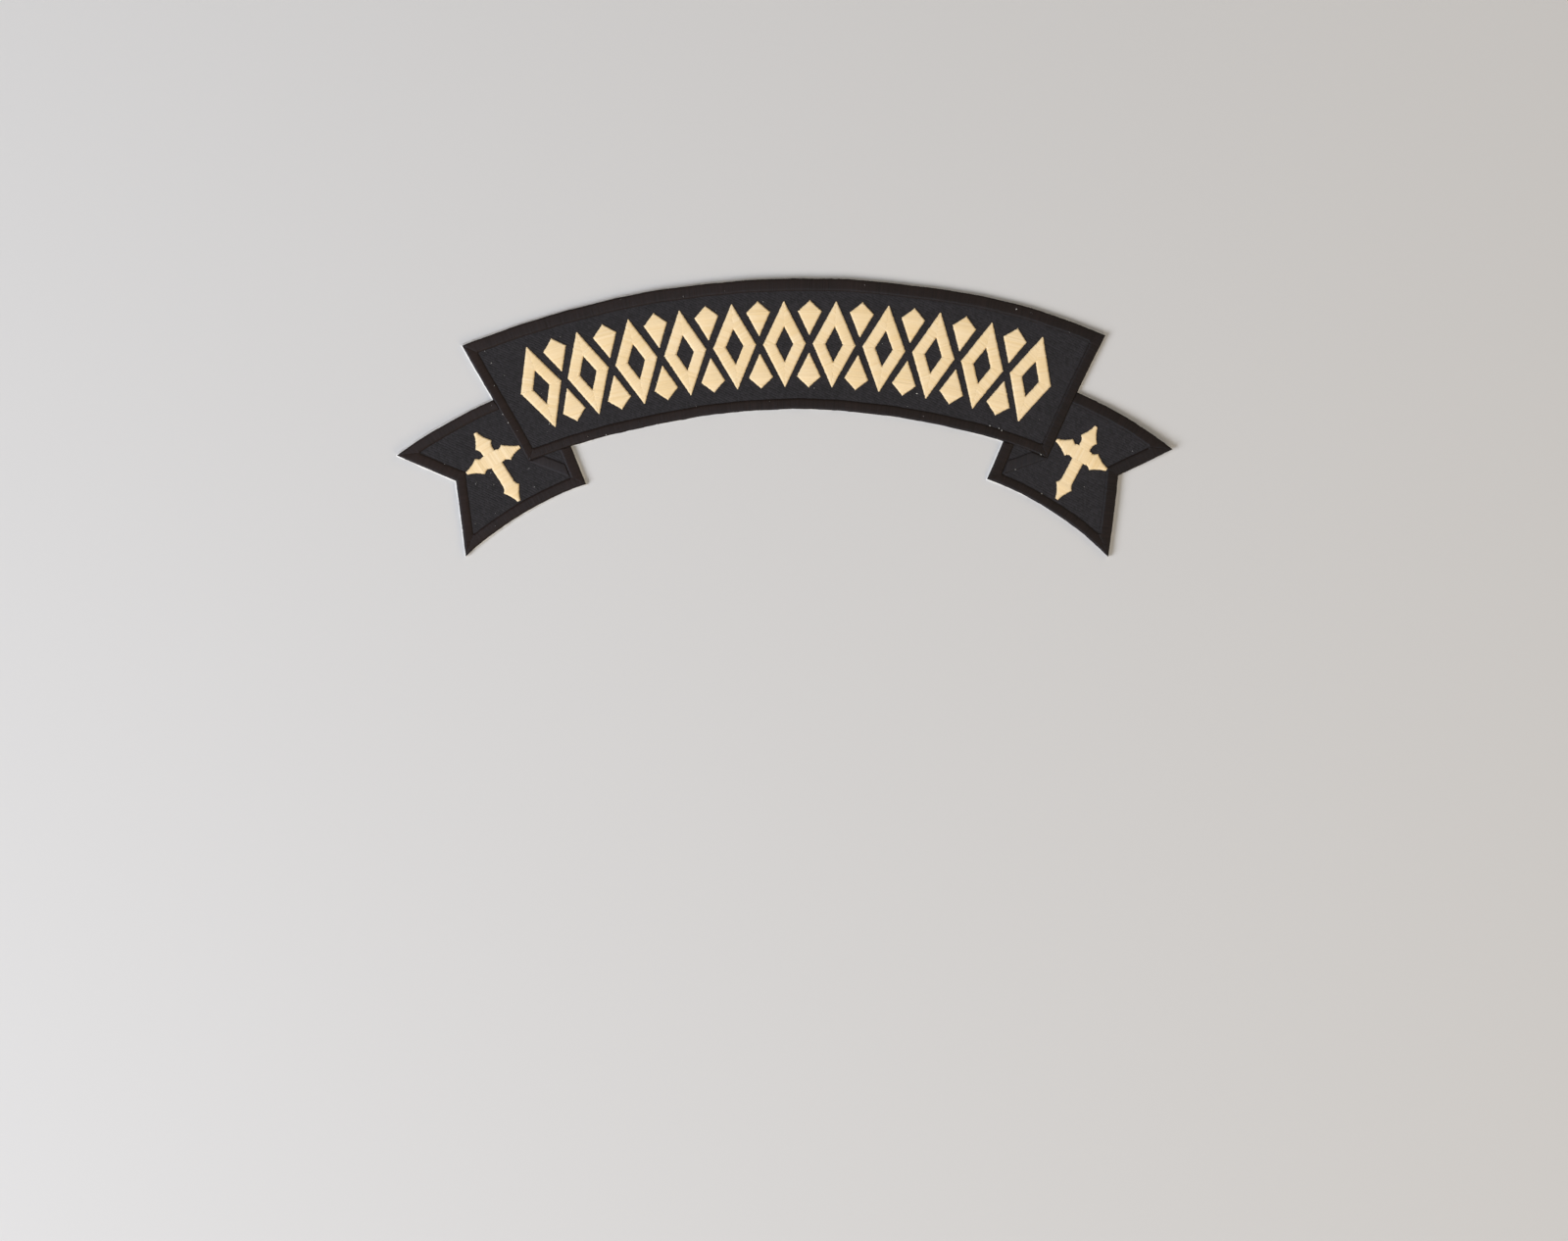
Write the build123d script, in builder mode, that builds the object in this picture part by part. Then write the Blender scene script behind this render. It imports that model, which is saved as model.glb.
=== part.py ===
from build123d import *
import math
import os

# An arched embroidered back patch: a banner, and behind each of its ends a swallow-tailed
# ribbon end. It lies face up, in millimetres: +X runs along the width, +Y towards the crown
# of the arch and +Z out of the stitched face. The origin is the middle of the underside.

os.makedirs("parts", exist_ok=True)

# Layers, from the underside up
backing_thick = 0.6
twill_thick = 1.0
border_rise = 0.5
motif_rise = 0.6
backing_proud = 0.3  # pale rim of the backing past the cut edge of the twill
satin_ease = 0.2  # chamfer along the upper edges of every stitched piece
stitch_gap = 0.2  # bare twill between two stitched pieces that meet

# Banner, between two arcs that are closed by straight ends
banner_depth = 51.8
crown_width = 253.0
crown_bow = 24.0
under_width = 204.3
under_bow = 19.5

# Satin border, inside the outline of the banner and of both tails
border_width = 4.2

# Ribbon tail, measured from the banner's lower corner, along and across the ribbon's slant
tail_slant = 31.3
upper_tip_reach = 41.6
upper_tip_above = 28.5
lower_tip_reach = 40.5
tail_below = 20.0
notch_reach = 27.8
notch_above = 8.2
inner_end_back = 15.5
inner_end_lean = 8.5
root_above = 24.1
upper_edge_bow = 3.0
lower_edge_bow = 3.1

# Cross on each tail, square to the ribbon
cross_above = 8.0  # its crossing, above the banner's lower corner
cross_inner_clear = 0.45
cross_outer_clear = 0.9
cross_top_clear = 1.7
cross_foot_clear = 1.0
cross_root = 5.7  # width of the limbs at the crossing
cross_neck = 4.7  # width where a limb begins to flare
cross_shoulder = 7.2
cross_blunt = 1.1  # width of the point's end
point_length = 5.7
side_stem = 0.55  # from the crossing's corner to where a side limb begins to flare
point_hollow = 0.35
flare_hollow = 0.3

# Ornament row on the banner: lozenge rings with a dart above and below each gap
row_margin = 4.35
row_end_margin = 5.2
lozenge_width = 17.0
lozenge_band = 4.6
motif_gap = 2.6
dart_shoulder_drop = 4.4

# The banner's corners and the overall depth
crown_half = crown_width / 2
under_half = under_width / 2
slant_along = math.cos(math.radians(tail_slant))
slant_across = math.sin(math.radians(tail_slant))
tail_drop = lower_tip_reach * slant_across + tail_below * slant_along
overall_depth = banner_depth + under_bow + tail_drop
crown_y = overall_depth / 2
crown_corner_y = crown_y - crown_bow
under_y = crown_y - banner_depth
under_corner_y = under_y - under_bow

# Heights of the faces
twill_base = backing_thick
stitch_base = twill_base + twill_thick

tail_plane = Plane(
    origin=(under_half, under_corner_y, 0),
    x_dir=(slant_along, -slant_across, 0),
    z_dir=(0, 0, 1),
)


def arc_radius(half_width, bow):
    """Radius of the arc that rises by a bow over a half width."""
    return (half_width**2 + bow**2) / (2 * bow)


def on_side(face, side):
    """The right-hand face, or its mirror image for the left."""
    return face if side == "right" else face.mirror(Plane.YZ)


def ease_upper_edges(part):
    """Chamfers the edges of the top face of a stitched piece."""
    chamfer(part.faces().sort_by(Axis.Z)[-1].edges(), length=satin_ease)


def finish(part, name):
    """Labels a finished piece and writes it."""
    part.label = name
    export_step(part, f"parts/{name}.step")


# Banner outline
with BuildSketch() as banner:
    with BuildLine():
        ThreePointArc((-crown_half, crown_corner_y), (0, crown_y), (crown_half, crown_corner_y))
        Line((crown_half, crown_corner_y), (under_half, under_corner_y))
        ThreePointArc((under_half, under_corner_y), (0, under_y), (-under_half, under_corner_y))
        Line((-under_half, under_corner_y), (-crown_half, crown_corner_y))
    make_face()

with BuildSketch() as banner_field:
    offset(banner.sketch, amount=-border_width, kind=Kind.TANGENT)

with BuildSketch() as banner_cover:
    offset(banner.sketch, amount=stitch_gap)

# Outline of the right tail, with the part of it that runs on behind the banner
inner_corner = (-inner_end_back, -tail_below)
root_back = (root_above + tail_below) * math.tan(math.radians(inner_end_lean))
root_corner = (-inner_end_back - root_back, root_above)
upper_tip = (upper_tip_reach, upper_tip_above)
lower_tip = (lower_tip_reach, -tail_below)

with BuildSketch(tail_plane) as tail:
    with BuildLine():
        SagittaArc(root_corner, upper_tip, upper_edge_bow)
        Polyline(upper_tip, (notch_reach, notch_above), lower_tip)
        SagittaArc(lower_tip, inner_corner, -lower_edge_bow)
        Line(inner_corner, root_corner)
    make_face()

with BuildSketch() as tail_field:
    offset(tail.sketch, amount=-border_width, kind=Kind.TANGENT)

# Right tail's border: the outline's rim, as far as the banner leaves it in sight
with BuildSketch() as tail_rim:
    add(tail.sketch)
    add(tail_field.sketch, mode=Mode.SUBTRACT)
    add(banner_cover.sketch, mode=Mode.SUBTRACT)

# Right fold band: a strip on the fold from the banner's lower corner to the inner corner
fold_length = math.hypot(*inner_corner)
fold_turn = math.degrees(math.atan2(inner_corner[1], inner_corner[0]))
with BuildSketch(tail_plane) as fold_strip:
    with Locations(Location((0, 0), fold_turn)):
        Rectangle(fold_length, border_width, align=(Align.MIN, Align.MAX))

with BuildSketch() as fold_face:
    offset(tail.sketch, amount=-border_width - stitch_gap, kind=Kind.TANGENT)
    add(fold_strip.sketch, mode=Mode.INTERSECT)
    add(banner_cover.sketch, mode=Mode.SUBTRACT)

# Right cross: four limbs that flare to shoulders and end in a blunt point
end_lean = math.degrees(math.atan2(crown_half - under_half, crown_corner_y - under_corner_y))
banner_end_at_cross = cross_above * math.tan(math.radians(end_lean - tail_slant))
cross_inner = banner_end_at_cross + cross_inner_clear
cross_outer = notch_reach - border_width - cross_outer_clear
cross_centre = (cross_inner + cross_outer) / 2
side_limb = (cross_outer - cross_inner) / 2
flare_length = side_limb - cross_root / 2 - side_stem - point_length
top_limb = (root_above + upper_tip_above) / 2 - border_width - cross_above - cross_top_clear
foot_limb = cross_above + tail_below - lower_edge_bow - border_width - cross_foot_clear


def limb(length):
    """One limb of the cross, from the crossing along +X to its point."""
    neck_at = length - point_length - flare_length
    shoulder_at = length - point_length
    with BuildSketch() as face:
        with BuildLine():
            Line((0, 0), (0, cross_root / 2))
            Line((0, cross_root / 2), (neck_at, cross_neck / 2))
            SagittaArc((neck_at, cross_neck / 2), (shoulder_at, cross_shoulder / 2), -flare_hollow)
            SagittaArc((shoulder_at, cross_shoulder / 2), (length, cross_blunt / 2), -point_hollow)
            Line((length, cross_blunt / 2), (length, 0))
            mirror(about=Plane.XZ)
        make_face()
    return face.sketch


with BuildSketch(tail_plane) as cross_face:
    with Locations((cross_centre, cross_above)):
        for length, turn in ((side_limb, 0), (top_limb, 90), (side_limb, 180), (foot_limb, 270)):
            add(limb(length), rotation=turn)

# Ornament row, on the arc midway between the banner's two arcs
lozenge_height = banner_depth - 2 * border_width - 2 * row_margin
row_radius = (arc_radius(crown_half, crown_bow) + arc_radius(under_half, under_bow)) / 2
row_y = (crown_y + under_y) / 2
row_centre = (0, row_y - row_radius)
row_half_width = (crown_half + under_half) / 2 - border_width - row_end_margin
row_half_length = row_radius * math.asin(row_half_width / row_radius)
row_pitch = lozenge_width + motif_gap
lozenge_count = 1 + math.floor((2 * row_half_length - lozenge_width) / row_pitch)
pitch_angle = math.degrees(row_pitch / row_radius)


def row_plane(steps, height):
    """Plane on the row, some pitches right of the middle, its +Y out from the arc's centre."""
    angle = math.radians(90 - steps * pitch_angle)
    out = Vector(math.cos(angle), math.sin(angle), 0)
    return Plane(
        origin=Vector(*row_centre, height) + out * row_radius,
        x_dir=(out.Y, -out.X, 0),
        z_dir=(0, 0, 1),
    )


def dart_points():
    """Corners of the dart above the row, its lower sides parallel to the lozenges' sides."""
    slope = lozenge_width / lozenge_height
    side_gap = motif_gap * math.hypot(1, slope)
    base = (side_gap - row_pitch / 2 + lozenge_width / 2) / slope
    shoulder = lozenge_height / 2 - dart_shoulder_drop
    half_width = (shoulder - base) * slope
    return [(0, base), (half_width, shoulder), (0, lozenge_height / 2), (-half_width, shoulder)]


# Backing: the whole outline and its pale rim
with BuildPart() as backing:
    with BuildSketch():
        add(banner.sketch)
        for side in ("left", "right"):
            add(on_side(tail.sketch, side))
        offset(amount=backing_proud)
    extrude(amount=backing_thick)
finish(backing.part, "backing")

# Twill ground: banner and both tails cut from one cloth
with BuildPart() as twill_ground:
    with BuildSketch(Plane.XY.offset(twill_base)):
        add(banner.sketch)
        for side in ("left", "right"):
            add(on_side(tail.sketch, side))
    extrude(amount=twill_thick)
finish(twill_ground.part, "twill_ground")

# Banner border
with BuildPart() as banner_border:
    with BuildSketch(Plane.XY.offset(stitch_base)):
        add(banner.sketch)
        add(banner_field.sketch, mode=Mode.SUBTRACT)
    extrude(amount=border_rise)
    ease_upper_edges(banner_border)
finish(banner_border.part, "banner_border")

# Tail borders, fold bands and crosses
for side in ("left", "right"):
    with BuildPart() as tail_border:
        with BuildSketch(Plane.XY.offset(stitch_base)):
            add(on_side(tail_rim.sketch, side))
        extrude(amount=border_rise)
        ease_upper_edges(tail_border)
    finish(tail_border.part, f"{side}_tail_border")

    with BuildPart() as fold_band:
        with BuildSketch(Plane.XY.offset(stitch_base)):
            add(on_side(fold_face.sketch, side))
        extrude(amount=border_rise)
        ease_upper_edges(fold_band)
    finish(fold_band.part, f"{side}_fold_band")

    with BuildPart() as cross:
        with BuildSketch(Plane.XY.offset(stitch_base)):
            add(on_side(cross_face.sketch, side))
        extrude(amount=motif_rise)
        ease_upper_edges(cross)
    finish(cross.part, f"{side}_cross")

# Lozenge rings, from left to right
for index in range(lozenge_count):
    steps = index - (lozenge_count - 1) / 2
    with BuildPart() as lozenge:
        with BuildSketch(row_plane(steps, stitch_base)):
            half_width = lozenge_width / 2
            half_height = lozenge_height / 2
            with BuildLine():
                Polyline(
                    (half_width, 0), (0, half_height), (-half_width, 0), (0, -half_height), close=True
                )
            make_face()
            offset(amount=-lozenge_band, kind=Kind.TANGENT, mode=Mode.SUBTRACT)
        extrude(amount=motif_rise)
        ease_upper_edges(lozenge)
    finish(lozenge.part, f"lozenge_{index + 1:02d}")

# Darts in the gaps between the lozenges, an upper and a lower one in each
for index in range(lozenge_count - 1):
    steps = index - (lozenge_count - 2) / 2
    for row, turn in (("upper", 0), ("lower", 180)):
        with BuildPart() as dart:
            with BuildSketch(row_plane(steps, stitch_base).rotated((0, 0, turn))):
                with BuildLine():
                    Polyline(*dart_points(), close=True)
                make_face()
            extrude(amount=motif_rise)
            ease_upper_edges(dart)
        finish(dart.part, f"{row}_dart_{index + 1:02d}")
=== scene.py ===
import math

import bpy
import numpy as np
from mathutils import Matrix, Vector
from mathutils.geometry import delaunay_2d_cdt


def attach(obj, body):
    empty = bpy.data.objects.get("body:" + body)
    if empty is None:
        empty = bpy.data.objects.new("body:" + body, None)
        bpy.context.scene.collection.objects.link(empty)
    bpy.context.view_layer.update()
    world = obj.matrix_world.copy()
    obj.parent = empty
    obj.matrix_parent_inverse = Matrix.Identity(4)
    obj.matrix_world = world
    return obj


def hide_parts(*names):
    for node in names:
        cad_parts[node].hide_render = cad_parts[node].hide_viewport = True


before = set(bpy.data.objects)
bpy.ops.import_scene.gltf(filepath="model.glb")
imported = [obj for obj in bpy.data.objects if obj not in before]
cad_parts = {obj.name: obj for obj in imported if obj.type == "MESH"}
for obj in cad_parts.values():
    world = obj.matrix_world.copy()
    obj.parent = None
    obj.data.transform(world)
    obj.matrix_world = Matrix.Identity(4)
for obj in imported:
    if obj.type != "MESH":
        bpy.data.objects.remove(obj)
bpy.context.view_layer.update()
rng = np.random.default_rng(11)

# Lengths are millimetres until a mesh is made. First come the part's own dimensions.
MM = 0.001
TINY = 1e-9
BACKING_THICK = 0.6
TWILL_THICK = 1.0
BORDER_RISE = 0.5
MOTIF_RISE = 0.6
STITCH_BASE = BACKING_THICK + TWILL_THICK

BANNER_DEPTH = 51.8
CROWN_HALF = 253.0 / 2
CROWN_BOW = 24.0
UNDER_HALF = 204.3 / 2
UNDER_BOW = 19.5
BORDER_WIDTH = 4.2

TAIL_SLANT = math.radians(31.3)
UPPER_TIP = (41.6, 28.5)
LOWER_TIP_REACH = 40.5
TAIL_BELOW = 20.0
NOTCH = (27.8, 8.2)
INNER_END_BACK = 15.5
INNER_END_LEAN = math.radians(8.5)
ROOT_ABOVE = 24.1
UPPER_EDGE_BOW = 3.0
LOWER_EDGE_BOW = 3.1

CROSS_ABOVE = 8.0
CROSS_INNER_CLEAR = 0.45
CROSS_OUTER_CLEAR = 0.9
CROSS_TOP_CLEAR = 1.7
CROSS_FOOT_CLEAR = 1.0
CROSS_ROOT = 5.7
CROSS_NECK = 4.7
CROSS_SHOULDER = 7.2
CROSS_BLUNT = 1.1
POINT_LENGTH = 5.7
SIDE_STEM = 0.55
POINT_HOLLOW = 0.35
FLARE_HOLLOW = 0.3

ROW_MARGIN = 4.35
ROW_END_MARGIN = 5.2
LOZENGE_WIDTH = 17.0
LOZENGE_BAND = 4.6
MOTIF_GAP = 2.6
DART_SHOULDER_DROP = 4.4

TAIL_DROP = LOWER_TIP_REACH * math.sin(TAIL_SLANT) + TAIL_BELOW * math.cos(TAIL_SLANT)
OVERALL_DEPTH = BANNER_DEPTH + UNDER_BOW + TAIL_DROP
CROWN_Y = OVERALL_DEPTH / 2
CROWN_CORNER_Y = CROWN_Y - CROWN_BOW
UNDER_Y = CROWN_Y - BANNER_DEPTH
UNDER_CORNER_Y = UNDER_Y - UNDER_BOW

# Threads and weave
STITCH_PITCH = 0.42
STITCH_FLOOR = 1.42  # satin is sewn down to here, a little into the twill
STITCH_VALLEY = 0.05  # depth of the groove between two threads
SEAM_LAP = 0.25  # how far a thread runs on into the satin it meets at a seam
SHORTEST_STITCH = 0.22
BAND_RISE = BORDER_RISE - 0.12  # the borders' threads pull their edges down
# As sewn, the bands of satin differ a little in width
BANNER_WIDTHS = (5.0, 4.45, 4.25, 4.1)  # crown, right end, under edge, left end
TAIL_WIDTHS = {
    # upper edge, notch above and below, lower edge, inner end
    "left": (4.4, 4.7, 4.0, 4.5, 5.0),
    "right": (4.95, 4.8, 4.9, 4.0, 4.45),
}
FOLD_SPREAD = 0.2  # of the fold band's threads, past each side of its solid
WALE_PITCH = 0.89  # from one diagonal rib of the twill to the next
WALE_LEAN = math.radians(-26.0)
FLOAT_PITCH = 0.76  # from float to float along a rib
TWILL_TOP = 1.5
WEAVE_FLOOR = 1.48
WEAVE_RISE = 0.075
WEAVE_TUCK = 0.4  # weave that runs on under the satin
WEAVE_SINK = 0.5  # share of its rise that the weave loses beside the satin
SINK_REACH = 0.5  # how far from the satin that is felt


# Outlines are walked clockwise. Each edge gives a point by its way along, s, and its depth
# inside the outline, d.


class Line:
    def __init__(self, start, end):
        self.start = np.array(start, float)
        step = np.array(end, float) - self.start
        self.length = float(np.hypot(*step))
        self.along = step / self.length
        self.inward = np.array([self.along[1], -self.along[0]])

    def at(self, s, d):
        s, d = np.broadcast_arrays(s, d)
        return self.start + s[..., None] * self.along + d[..., None] * self.inward

    def ways(self, vectors):
        """Vectors by their ways along the line and inwards."""
        return np.stack([vectors @ self.along, vectors @ self.inward], -1)


class Arc:
    """An arc that bows out of the outline by a positive bow, and into it by a negative one."""

    def __init__(self, start, end, bow):
        start, end = np.array(start, float), np.array(end, float)
        chord = end - start
        half = float(np.hypot(*chord)) / 2
        out = np.array([-chord[1], chord[0]]) / (2 * half)
        self.radius = (half**2 + bow**2) / (2 * abs(bow))
        self.side = 1 if bow > 0 else -1
        self.centre = (start + end) / 2 - self.side * out * (self.radius - abs(bow))
        self.turn = math.atan2(*(start - self.centre)[::-1])
        self.length = 2 * self.radius * math.asin(half / self.radius)

    def at(self, s, d):
        s, d = np.broadcast_arrays(s, d)
        angle = self.turn - self.side * s / self.radius
        reach = self.radius - self.side * d
        return self.centre + np.stack([reach * np.cos(angle), reach * np.sin(angle)], -1)


MEET_TRIES = 12
HALVINGS = 30


def meet(a, b, depth_a, depth_b):
    """Ways along edges a and b to the corner between them, each at its depth inside the outline."""
    ways = np.array([a.length, 0.0])
    step = 0.01
    for _ in range(MEET_TRIES):
        miss = a.at(ways[0], depth_a) - b.at(ways[1], depth_b)
        slope_a = (a.at(ways[0] + step, depth_a) - a.at(ways[0], depth_a)) / step
        slope_b = (b.at(ways[1] + step, depth_b) - b.at(ways[1], depth_b)) / step
        ways = ways - np.linalg.solve(np.stack([slope_a, -slope_b], 1), miss)
    return ways


def corner_ways(edges, depths):
    """For each edge, the ways to its start and its end, where its neighbours meet it."""
    nexts = edges[1:] + edges[:1]
    met = [meet(*corner) for corner in zip(edges, nexts, depths, np.roll(depths, -1))]
    return [(met[i - 1][1], met[i][0]) for i in range(len(edges))]


def outline(edges, depths, step=2.0):
    """Closed polygon of an outline at a depth, or at a depth for each edge."""
    depths = np.broadcast_to(depths, len(edges))
    points = []
    for edge, depth, (first, last) in zip(edges, depths, corner_ways(edges, depths)):
        count = 2 if isinstance(edge, Line) else max(2, math.ceil((last - first) / step))
        points.append(edge.at(np.linspace(first, last, count, endpoint=False), depth))
    return np.concatenate(points)


crown_left, crown_right = (-CROWN_HALF, CROWN_CORNER_Y), (CROWN_HALF, CROWN_CORNER_Y)
under_left, under_right = (-UNDER_HALF, UNDER_CORNER_Y), (UNDER_HALF, UNDER_CORNER_Y)
banner_edges = [
    Arc(crown_left, crown_right, CROWN_BOW),
    Line(crown_right, under_right),
    Arc(under_right, under_left, -UNDER_BOW),
    Line(under_left, crown_left),
]


def framed(origin, turn):
    """Gives places on the patch by x and y in a frame with its own origin and turn."""
    x_way = np.array([math.cos(turn), math.sin(turn)])
    y_way = np.array([-x_way[1], x_way[0]])

    def place(x, y):
        x, y = np.broadcast_arrays(x, y)
        return np.asarray(origin) + x[..., None] * x_way + y[..., None] * y_way

    return place


def placed(place, points):
    points = np.asarray(points, float)
    return place(points[..., 0], points[..., 1])


on_tail = framed(under_right, -TAIL_SLANT)  # by the ways along and across the ribbon's slant
INNER_CORNER = (-INNER_END_BACK, -TAIL_BELOW)
ROOT_CORNER = (-INNER_END_BACK - (ROOT_ABOVE + TAIL_BELOW) * math.tan(INNER_END_LEAN), ROOT_ABOVE)
LOWER_TIP = (LOWER_TIP_REACH, -TAIL_BELOW)
root, tip, notch, low_tip, inner = (
    placed(on_tail, p) for p in (ROOT_CORNER, UPPER_TIP, NOTCH, LOWER_TIP, INNER_CORNER)
)
tail_edges = [
    Arc(root, tip, UPPER_EDGE_BOW),
    Line(tip, notch),
    Line(notch, low_tip),
    Arc(low_tip, inner, -LOWER_EDGE_BOW),
    Line(inner, root),
]


def inside(points, polygon):
    """Which points lie in a closed polygon."""
    x, y = points[..., 0], points[..., 1]
    found = np.zeros(x.shape, bool)
    for (x0, y0), (x1, y1) in zip(polygon, np.roll(polygon, -1, 0)):
        if y0 != y1:
            found ^= ((y0 > y) != (y1 > y)) & (x < x0 + (y - y0) * (x1 - x0) / (y1 - y0))
    return found


def leaves(edge, depth, polygon, low, high):
    """Way along an edge at which it crosses a polygon's rim, between two ways."""
    starts_in = inside(edge.at(low, depth), polygon)
    for _ in range(HALVINGS):
        middle = (low + high) / 2
        if inside(edge.at(middle, depth), polygon) == starts_in:
            low = middle
        else:
            high = middle
    return (low + high) / 2


# How the cloth lies: its tail tips and crown stand off the floor, and it waves a little
CURL_FROM, CURL_REACH, CURL_RISE = 88, 66, 0.9
CROWN_FROM, CROWN_REACH, CROWN_RISE = 18, 36, 0.25
WAVE_RISE = 0.16
# Waves of that lie, as millimetres to a radian, and phase
ALONG_WAVE, ACROSS_WAVE, CROWN_WAVE = (23.0, 0.7), (31.0, 0.3), (41.0, 2.1)
# The rim's small waves to the right and upwards: rise, then millimetres to a radian by x and by y
RIPPLES = (
    ((0.06, 8.0, 13.0),),
    ((0.07, 6.5, -21.0), (0.05, 2.9, math.inf)),
)


def angle_at(way, wave):
    """Angle that a wave has at a way along it."""
    return way / wave[0] + wave[1]


def lift(x, y):
    """How far the cloth stands off the floor."""
    curl = np.clip((np.abs(x) - CURL_FROM) / CURL_REACH, 0, 1) ** 2 * CURL_RISE
    wave = WAVE_RISE * (1 + np.sin(angle_at(x, ALONG_WAVE)) * np.cos(angle_at(y, ACROSS_WAVE)))
    crown = np.clip((y - CROWN_FROM) / CROWN_REACH, 0, 1) ** 2 * CROWN_RISE
    return curl + wave + crown * (1 + np.sin(angle_at(x, CROWN_WAVE)))


# Places on the patch, and how far the cloth lies from them in its own plane, as it was laid
DRIFT_PINS = (
    # x, y, drift right, drift up
    (-152.5, -13.8, -0.1, 0.2),
    (-126.5, 30.7, -0.1, -1.3),
    (-98.0, 41.0, 0.2, -1.3),
    (-60.0, 50.0, 0.2, -0.8),
    (-20.0, 54.5, 0.0, -0.5),
    (20.0, 54.5, 0.0, 0.2),
    (60.0, 50.0, 0.0, 0.7),
    (90.0, 43.5, 0.0, 1.5),
    (126.5, 30.7, -0.1, 0.6),
    (152.5, -13.8, -0.1, 0.0),
    (-60.0, -4.0, 0.2, -0.6),
    (0.0, 3.0, 0.2, 0.4),
    (60.0, -4.0, 0.3, 0.3),
    (-102.2, -16.6, 1.2, 0.3),
    (102.2, -16.6, 1.1, -0.2),
    (-78.5, -25.6, 0.1, 0.1),
    (78.5, -25.6, 0.8, 0.7),
    (-130.2, -24.0, 0.6, 0.3),
    (130.2, -24.0, 0.6, -0.1),
    (116.4, -14.1, 0.25, 0.1),
    (-126.4, -54.7, 0.5, 1.2),
    (126.4, -54.7, 0.4, -1.2),
)
DRIFT_SOFTNESS = 14.0
pins = np.array(DRIFT_PINS)
pin_places, pin_drifts = pins[:, :2], pins[:, 2:]


def pull(points):
    """How far each point is from each pin, rounded off close to the pin."""
    return np.sqrt(((points[:, None] - pin_places) ** 2).sum(-1) + DRIFT_SOFTNESS**2)


pin_system = np.ones((len(DRIFT_PINS) + 1, len(DRIFT_PINS) + 1))
pin_system[:-1, :-1] = pull(pin_places)
pin_system[-1, -1] = 0
pin_weights = np.linalg.solve(pin_system, np.vstack([pin_drifts, (0, 0)]))


def drift(points):
    """Drift of the cloth at each point, smooth between the pins, with the rim's small waves."""
    x, y = points.T
    ripple = [sum(rise * np.sin(x / a + y / b) for rise, a, b in waves) for waves in RIPPLES]
    return pull(points) @ pin_weights[:-1] + pin_weights[-1] + np.column_stack(ripple)


def new_object(name, data):
    made = bpy.data.objects.new(name, data)
    bpy.context.scene.collection.objects.link(made)
    return made


FOOT_SHARE = 0.12  # share of a bar's map that its underside gets
MAP_MARGIN = 0.3
MAP_EDGE = 0.001  # share of the map's square left bare at each side
END_SPREAD = 0.02  # how far apart the points of a bar's end lie in the map


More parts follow.
